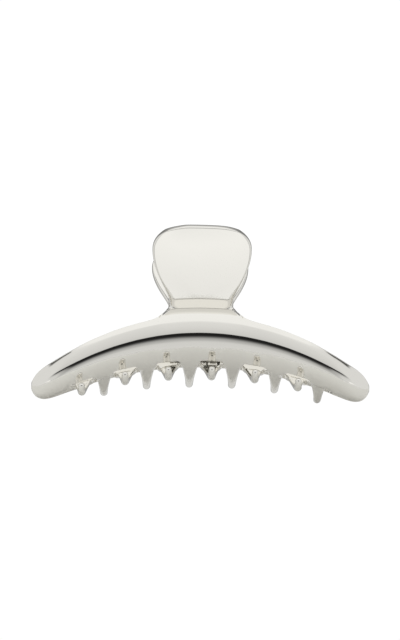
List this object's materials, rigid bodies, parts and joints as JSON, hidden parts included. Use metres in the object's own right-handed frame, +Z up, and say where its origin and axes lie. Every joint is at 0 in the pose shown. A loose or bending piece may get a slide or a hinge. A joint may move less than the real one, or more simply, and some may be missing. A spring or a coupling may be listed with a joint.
{
  "type": "claw hair clip",
  "caption": "Arched metal claw hair clip: mirror-plated jaws with interlocking hooked teeth, thumb pads and a sprung hinge.",
  "frame": {"origin": "on the surface it stands on, under the middle of the clip, halfway between the jaws", "axes": "+X along the clip, -Y towards the front jaw, +Z up through the thumb pads"},
  "size_m": [0.1006, 0.043, 0.0502],
  "materials": {
    "plating": "mirror polish",
    "hinge_steel": "satin",
    "spring_steel": "drawn wire"
  },
  "bodies": {
    "front": {"front_jaw": "plating", "front_hinge_leaf": "hinge_steel", "front_leaf_screw_left": "hinge_steel", "front_leaf_screw_right": "hinge_steel", "hinge_pin": "hinge_steel", "pin_cap_left": "hinge_steel", "pin_cap_right": "hinge_steel", "torsion_spring": "spring_steel"},
    "back": {"back_jaw": "plating", "back_hinge_leaf": "hinge_steel", "back_leaf_screw_left": "hinge_steel", "back_leaf_screw_right": "hinge_steel"}
  },
  "joints": [
    {"name": "jaw_hinge", "type": "hinge", "parent": "front", "child": "back", "pos_m": [0, 0, 0.029], "axis": [1, 0, 0], "range_deg": [0, 38], "stiffness_Nm_per_rad": 0.12, "springref_deg": -45.84, "deforming": ["torsion_spring"]}
  ]
}
